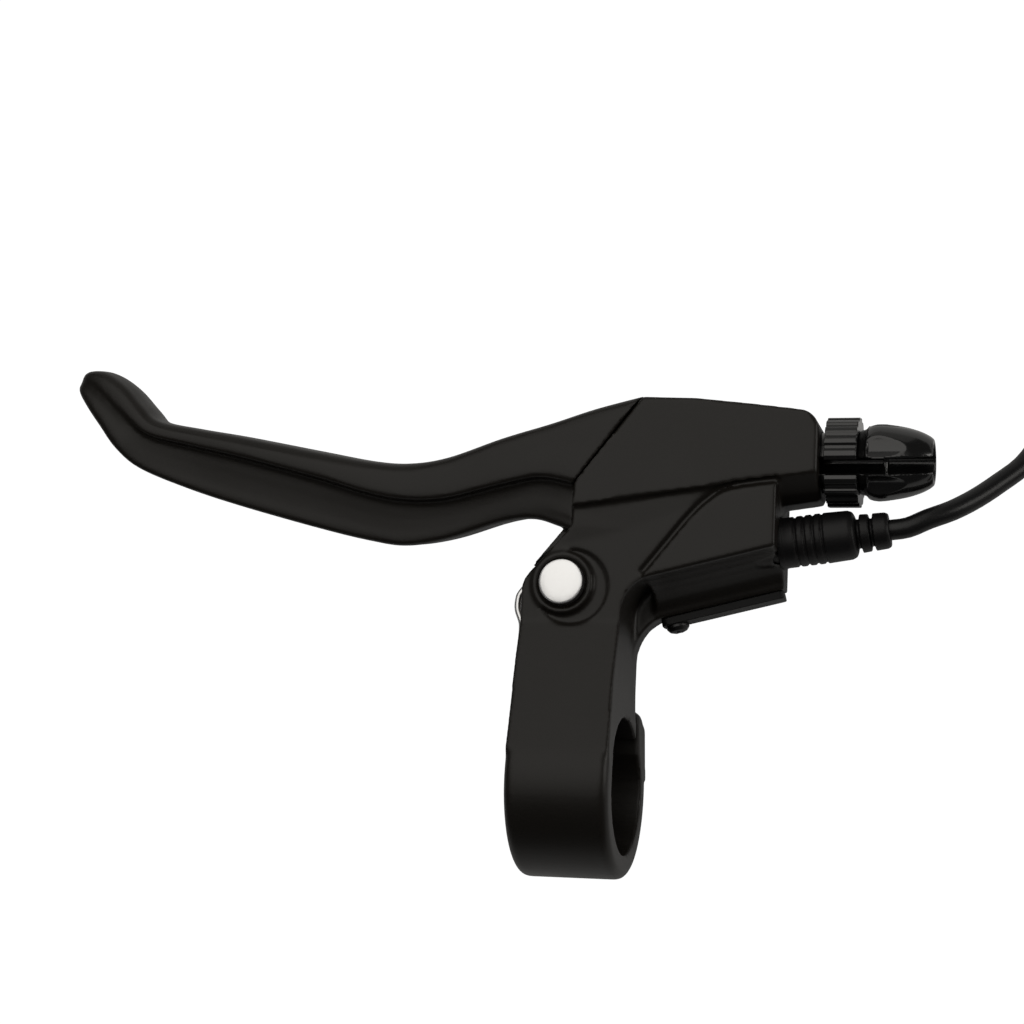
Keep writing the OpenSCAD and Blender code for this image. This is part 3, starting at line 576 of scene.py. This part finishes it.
# The blade. Each row gives the finger edge x, y, the bar edge x, y, the half depth at the rim,
# the half depth at the bar edge, the rim's place between the edges, and how round the finger side is.
BLADE_ROWS = [
    (-92.7, 69.2, -93.3, 67.9, 2.0, 1.9, 0.5, 1), (-90.9, 70.4, -92.6, 66.2, 4.4, 4.1, 0.5, 1),
    (-87.2, 70.3, -90.6, 63.4, 5.5, 5.1, 0.5, 1), (-83.1, 67.9, -87.7, 59.9, 6.1, 5.6, 0.5, 1),
    (-79.4, 64.2, -84.0, 56.3, 6.4, 5.6, 0.54, 1), (-76.2, 61.3, -79.6, 53.2, 6.4, 4.6, 0.58, 0.9),
    (-69.0, 59.8, -71.0, 49.9, 6.4, 3.8, 0.62, 0.8), (-60.0, 58.3, -61.0, 46.9, 6.6, 3.7, 0.62, 0.8),
    (-46.0, 55.6, -46.4, 43.1, 6.9, 3.8, 0.58, 0.8), (-36.5, 53.8, -37.0, 41.0, 7.1, 4.0, 0.52, 0.7),
    (-30.0, 53.4, -30.5, 40.2, 7.3, 4.2, 0.48, 0.7), (-23.0, 54.3, -23.0, 41.3, 7.6, 4.5, 0.42, 0.6),
    (-13.6, 57.2, -14.0, 44.1, 8.1, 4.9, 0.37, 0.4), (-5.0, 59.4, -8.0, 44.9, 8.5, 5.4, 0.37, 0.2),
    (2.6, 61.7, -3.0, 44.0, 8.8, 5.9, 0.32, 0.1), (11.5, 64.0, 3.0, 42.4, 8.9, 6.4, 0.27, 0.1),
]
SEAM_GAP = 0.12
BEYOND_SEAM = [
    (-0.9 - SEAM_GAP, 12), (-0.9 - SEAM_GAP, 41.8), (-0.6 - SEAM_GAP, 48.6),
    (-0.6 - 0.8 * SEAM_GAP, 48.6 + 0.6 * SEAM_GAP), (16.7, 71.9), (60, 74), (60, 12),
]
HUB_ROOM = [(-9, 20), (12, 20), (12, 52), (-9, 52)]
HUB_HALF = 4.25
BUSH_R = 4.07
NIPPLE = (-4, 53.5)
NIPPLE_R = 3.6
NIPPLE_TOP = 2.9
WIRE_SLOT = 2.6
SWING = 25
KNOB_END_X = -84
LEAN = 0.04
LEAN_PER_DEPTH = 0.0155


def blade_section(row):
    """The closed outline of the blade across one row. Half of it is drawn, as [place between the
    edges, half depth], and mirrored. Its bar side leans, so that the front hides its underside; the
    knob stays upright."""
    top_x, top_y, low_x, low_y, rim, inner, place, soft = row
    rest = 1 - place
    half = [
        (1, 0.05 * rim), (1 - 0.02 * soft, 0.36 * rim), (1 - 0.07 * soft, 0.66 * rim),
        (0.98 - 0.10 * soft, 0.86 * rim), (0.93 - 0.14 * soft, 0.97 * rim),
        (place + 0.45 * rest, rim), (place + 0.1 * rest, rim), (place + 0.01, rim * 0.98),
        (place - 0.01, rim * 0.94), (place - 0.03, rim * 0.4 + inner * 0.6),
        (place * 0.68, rim * 0.2 + inner * 0.8),
        (place * 0.3, inner * 1.03), (0.07, inner), (0.02, inner * 0.94), (0, inner * 0.8),
        (0, inner * 0.05),
    ]
    outline = [(p, -z) for p, z in half] + [(p, z) for p, z in reversed(half)]
    lean = ease((top_x - KNOB_END_X) / 8)
    outline = [(p - lean * (LEAN + LEAN_PER_DEPTH * z) * (1 - p) ** 4, z) for p, z in outline]
    return [Vector((low_x + (top_x - low_x) * p, low_y + (top_y - low_y) * p, z)) for p, z in outline]


def closed_smooth(points, steps):
    """A smooth closed curve, its knots spaced by the root of the gaps so that it never loops."""
    count = len(points)
    out = []
    for i in range(count):
        a, b, c, d = points[i - 1], points[i], points[(i + 1) % count], points[(i + 2) % count]
        to_b = (b - a).length ** 0.5
        to_c = to_b + (c - b).length ** 0.5
        to_d = to_c + (d - c).length ** 0.5
        for k in range(steps):
            t = to_b + (to_c - to_b) * k / steps
            ab = a.lerp(b, t / to_b)
            bc = b.lerp(c, (t - to_b) / (to_c - to_b))
            cd = c.lerp(d, (t - to_c) / (to_d - to_c))
            abc = ab.lerp(bc, t / to_c)
            bcd = bc.lerp(cd, (t - to_b) / (to_d - to_b))
            out.append(abc.lerp(bcd, (t - to_b) / (to_c - to_b)))
    return out


def make_blade():
    """The blade is drawn through its rows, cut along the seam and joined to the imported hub."""
    columns = list(zip(*(blade_section(row) for row in BLADE_ROWS)))
    along = [smooth(column, 6) for column in columns]
    blade = loft("blade", [closed_smooth(ring, 3) for ring in zip(*along)])
    blade = carve(blade, [prism(BEYOND_SEAM, -40, 40)])
    hub = carve(welded("brake_blade"), [prism(HUB_ROOM, -HUB_HALF, HUB_HALF)], "INTERSECT")
    blade = carve(blade, [hub], "UNION")
    x, y = NIPPLE
    half = WIRE_SLOT / 2
    fall = 20 * math.tan(math.radians(SWING)) + half
    wire_way = prism([(x, y - half), (x + 20, y - fall), (x + 20, y + half), (x, y + half)], -40, half)
    blade = carve(blade, [rod(NIPPLE_R, -20, NIPPLE_TOP, NIPPLE), wire_way])
    blade = rounded(blade, 0.29, 4)
    blade = carve(blade, [rod(NIPPLE_R, -20, NIPPLE_TOP, NIPPLE), rod(BUSH_R, -20, 20, PIVOT.xy)])
    add_piece("lever_blade", shaded(blade), blade_paint, "lever", "blade_paint", "brake_blade")


# The cable adjuster and its lock nut, which both stand a little further out than their solids
SLOT_TURN = 18
NUT_OUT = 0.7
SLOT = [(-WIRE_SLOT / 2, 0), (WIRE_SLOT / 2, 0), (WIRE_SLOT / 2, 20), (-WIRE_SLOT / 2, 20)]
GRIP_END_R = 4.15
HOUSING_R = 3.05
HOUSING_DEPTH = 8
FLUTES = 6
FLUTE_R = 3.6
FLUTE_OUT = 2.8
RIBS = 20
RIB_GROOVE_R = 0.75
RIB_GROOVE_OUT = 0.35
PAST_END_X = 70


def around_cable(outline, low, high, turn):
    """A prism along the cable's line; its outline's Y points away from the line, turned from the front."""
    return prism(outline, low, high, along_cable(turn) @ Matrix.Rotation(math.radians(-90), 4, "Z"))


def bore(radius, low, count=128):
    """A round hole along the cable's line, open at the far end."""
    return lathe([(low, 0), (low, radius), (PAST_END_X, radius), (PAST_END_X, 0)], along_cable(), count)


def make_adjuster():
    r = (grip_high.y - grip_low.y) / 2
    low, end = grip_low.x, grip_high.x
    start = nut_high.x + NUT_OUT + 0.1
    length = end - start
    profile = [(low, 0), (low, THREAD_R - 0.5), (low + 0.5, THREAD_R), (start, THREAD_R)]
    profile += smooth(vectors([
        (start, r * 0.82), (start + 0.9, r * 0.85), (start + 1.4, r * 0.94), (start + 2.6, r),
        (start + 4.2, r * 0.99), (start + length * 0.6, r * 0.9), (start + length * 0.8, r * 0.79),
        (end - 0.7, GRIP_END_R + 0.1), (end, GRIP_END_R - 0.5)]), 5)
    profile.append((end, 0))
    grip = lathe(profile, along_cable())
    flute = circle_points(FLUTE_R, 80, (0, r + FLUTE_OUT))
    turns = [SLOT_TURN + 360 / FLUTES * (i + 0.5) for i in range(FLUTES)]
    cuts = [bore(HOUSING_R, end - HOUSING_DEPTH), bore(WIRE_SLOT / 2, 10, 48),
            around_cable(SLOT, 10, PAST_END_X, SLOT_TURN),
            together([around_cable(flute, start + 1.4, PAST_END_X, turn) for turn in turns])]
    mesh = rounded(carve(grip, cuts), 0.17, 4)
    add_piece(
        "adjuster_grip", shaded(mesh, 60), black_plating, "adjuster", "gloss_black", "barrel_adjuster")


def make_locknut():
    """The nut's outline is a ribbed ring with a slot in it."""
    r = (nut_high.y - nut_low.y) / 2
    hole_r = THREAD_R + 0.05
    slot_outside = math.asin(WIRE_SLOT / 2 / r)
    slot_inside = math.asin(WIRE_SLOT / 2 / hole_r)
    outline = []
    for step in range(721):
        angle = slot_outside + (math.tau - 2 * slot_outside) * step / 720
        to_rib = (angle * RIBS / math.tau + 0.5) % 1 - 0.5
        aside = (abs(to_rib) - 0.5) * math.tau / RIBS * r
        depth = max(0, math.sqrt(max(RIB_GROOVE_R ** 2 - aside ** 2, 0)) - RIB_GROOVE_OUT)
        outline.append(((r - depth) * math.sin(angle), (r - depth) * math.cos(angle)))
    for step in range(120, -1, -1):
        angle = slot_inside + (math.tau - 2 * slot_inside) * step / 120
        outline.append((hole_r * math.sin(angle), hole_r * math.cos(angle)))
    nut = around_cable(outline, nut_low.x + NUT_OUT, nut_high.x + NUT_OUT, SLOT_TURN)
    mesh = rounded(nut, 0.115, 3)
    add_piece("lock_nut", shaded(mesh, 60), black_plating, "locknut", "gloss_black", "adjuster_locknut")


# The lead's boot
BOOT_R = 4.25
BOOT_STUB = 3.3
BOOT_NECK = 5.4
BOOT_GROOVES = 4
BOOT_GROOVE_PITCH = 1.45


def make_boot():
    """A round body with a stub in the housing, four grooves, and two collars on its neck."""
    r = BOOT_R
    body = BOOT_LEN - BOOT_NECK
    profile = [(-BOOT_STUB, 0), (-BOOT_STUB, r - 1.2), (0, r - 1.2), (0.02, r), (0.9, r), (1.0, r - 0.12)]
    for i in range(BOOT_GROOVES):
        x = body * 0.22 + i * BOOT_GROOVE_PITCH
        profile += [(x, r - 0.12), (x + 0.15, r - 0.42), (x + 0.45, r - 0.42), (x + 0.6, r - 0.12)]
    profile += [
        (body - 1, r - 0.25), (body - 0.3, r - 0.55), (body, r - 1.1), (body + 0.2, r - 1.9),
        (body + 0.7, r - 1.9), (body + 0.8, r - 1.1), (body + 2.2, r - 1.2), (body + 2.3, r - 2.0),
        (body + 2.8, r - 2.0), (body + 2.9, r - 1.2), (BOOT_LEN - 0.5, r - 1.3), (BOOT_LEN, r - 1.6),
        (BOOT_LEN, 0)]
    mesh = rounded(lathe(profile, boot_place), 0.15, 3)
    add_piece("lead_boot", shaded(mesh, 60), boot_rubber, "bracket", "boot_rubber", "switch_boot")


# The pin and the return spring
PIN_SEAT_Z = 7.0
CLIP_GROOVE_DEEP = 0.6
SPRING_WIRE_R = 0.55
SPRING_R = 4.95
SPRING_PITCH = 1.18
SPRING_TURNS = 2.375
SPRING_TOP = 4.1
SPRING_STEPS = 140


def make_pin():
    low, high = pin_low.z, pin_high.z
    head = (pin_high.x - pin_low.x) / 2
    profile = [(low, 0), (low, PIN_R - 0.4), (low + 0.4, PIN_R), (PIN_SEAT_Z, PIN_R), (PIN_SEAT_Z, head),
               (high - 0.3, head)]
    profile += [(high - 0.25, head - 0.1), (high - 0.18, head - 0.4), (high - 0.07, head * 0.6), (high, 0)]
    pin = lathe(profile, Matrix.Translation((PIVOT.x, PIVOT.y, 0)))
    clip_low, clip_high = (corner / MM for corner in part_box("pivot_clip"))
    groove = carve(rod(PIN_R + 1.5, clip_low.z - 0.1, clip_high.z + 0.01, PIVOT.xy),
                   [rod(PIN_R - CLIP_GROOVE_DEEP, -20, 20, PIVOT.xy)])
    add_piece("pin", shaded(carve(pin, [groove]), 30), silver_steel, "bracket", "bright_steel", "pivot_pin")


def make_spring():
    """The return spring's wire, on the same path as its solid."""
    x, y = PIVOT.xy
    top = SPRING_TOP - SPRING_WIRE_R
    low = top - 2 * SPRING_PITCH
    path = vectors([(x + SPRING_R, y + 7.4, low), (x + SPRING_R, y + 4, low), (x + SPRING_R, y + 2, low)])
    for i in range(1, SPRING_STEPS + 1):
        part = i / SPRING_STEPS
        angle = SPRING_TURNS * math.tau * part
        path.append(Vector((
            x + SPRING_R * math.cos(angle), y + SPRING_R * math.sin(angle), low + (top - low) * part)))
    path += smooth(vectors([
        (x - 5.7, y + 1.6, top), (-9.8, y - 1, top), (-10.3, y - 2.2, top), (-10.3, y - 4, top),
        (-9.5, y - 6.3, top), (-9.5, y - 9, top)]), 5)
    mesh = shaded(tube("spring", path, SPRING_WIRE_R, 16))
    add_piece("spring_wire", mesh, silver_steel, "bracket", "spring_steel", "return_spring")


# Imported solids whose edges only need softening, as node, how finely in mm, and material slot
SMALL_PARTS = [
    ("switch_cover", 0.12, "cover_plastic"), ("cover_screw", 0.07, "black_steel"),
    ("clamp_bolt", 0.13, "black_steel"), ("connector_body", 0.15, "cover_plastic"),
    ("cable_tie", 0.12, "tie_plastic"),
]


def make_small_parts():
    for node, voxel_mm, slot in SMALL_PARTS:
        mesh = shaded(rounded(welded(node), voxel_mm, 3), 60)
        add_piece(node + "_soft", mesh, NODE_FINISH[node], "bracket", slot, node)


# The studio, in metres. The table glows for the camera, and a little for what mirrors it.
TABLE_HALF = 3
TABLE_GLOW = 1.1
GLOW_SEEN = 0.93
GLOW_MIRRORED = 0.1
ROOM_LIGHT = 0.04
LAMP_COLOUR = (1, 0.975, 0.93)
LAMP_AIM = (0.0, 0.04, 0.0)
# Each lamp's name, place, size and power
LAMPS = [
    ("big_softbox", (-0.13, 0.32, 0.74), (0.95, 1.0), 3.1),
    ("top_soft", (-0.05, 0.95, 0.15), (0.9, 0.7), 0.5),
    ("fill_right", (0.75, 0.18, 0.2), (0.3, 0.5), 1.2),
]


def set_stage():
    """A white table under the lever."""
    floor_mesh = bpy.data.meshes.new("table_top")
    z = (FLOOR_Z - 0.02) * MM
    corners = [(x, y, z) for x, y in ((-TABLE_HALF, -TABLE_HALF), (TABLE_HALF, -TABLE_HALF),
                                      (TABLE_HALF, TABLE_HALF), (-TABLE_HALF, TABLE_HALF))]
    floor_mesh.from_pydata(corners, [], [(0, 1, 2, 3)])
    floor = new_object("table_top", floor_mesh)
    f = Finish("table_white")
    f.set_input(f.shader.inputs["Base Color"], (0.82, 0.82, 0.82, 1))
    f.set_input(f.shader.inputs["Roughness"], 0.9)
    seen = f.node("LightPath", out="Is Camera Ray") * GLOW_SEEN
    seen += f.node("LightPath", out="Is Glossy Ray") * GLOW_MIRRORED
    glow = f.node("Emission", None, ("Color", (1, 1, 1, 1)), ("Strength", TABLE_GLOW))
    mixed = f.node("MixShader", None, (0, seen), (1, Value(f, f.shader.outputs[0])), (2, glow))
    f.tree.links.new(mixed.socket, f.tree.nodes["Material Output"].inputs["Surface"])
    floor_mesh.materials.append(f.material)


def add_lamp(name, at, size, power):
    data = bpy.data.lights.new(name, "AREA")
    data.shape = "RECTANGLE"
    data.size, data.size_y = size
    data.energy = power
    data.color = LAMP_COLOUR
    lamp = new_object(name, data)
    lamp.location = at
    lamp.rotation_euler = (Vector(LAMP_AIM) - Vector(at)).to_track_quat("-Z", "Y").to_euler()


def set_light():
    """The room's even light: one large softbox in front, and two weaker ones above and at the right."""
    world = bpy.data.worlds.new("studio")
    bpy.context.scene.world = world
    world.use_nodes = True
    background = world.node_tree.nodes["Background"]
    background.inputs["Color"].default_value = (1, 1, 1, 1)
    background.inputs["Strength"].default_value = ROOM_LIGHT
    for lamp in LAMPS:
        add_lamp(*lamp)
    bpy.context.scene.view_settings.view_transform = "Standard"


set_camera()
dress_nodes()
make_small_parts()
make_lead()
make_bracket()
make_blade()
make_adjuster()
make_locknut()
make_boot()
make_pin()
make_spring()
set_stage()
set_light()
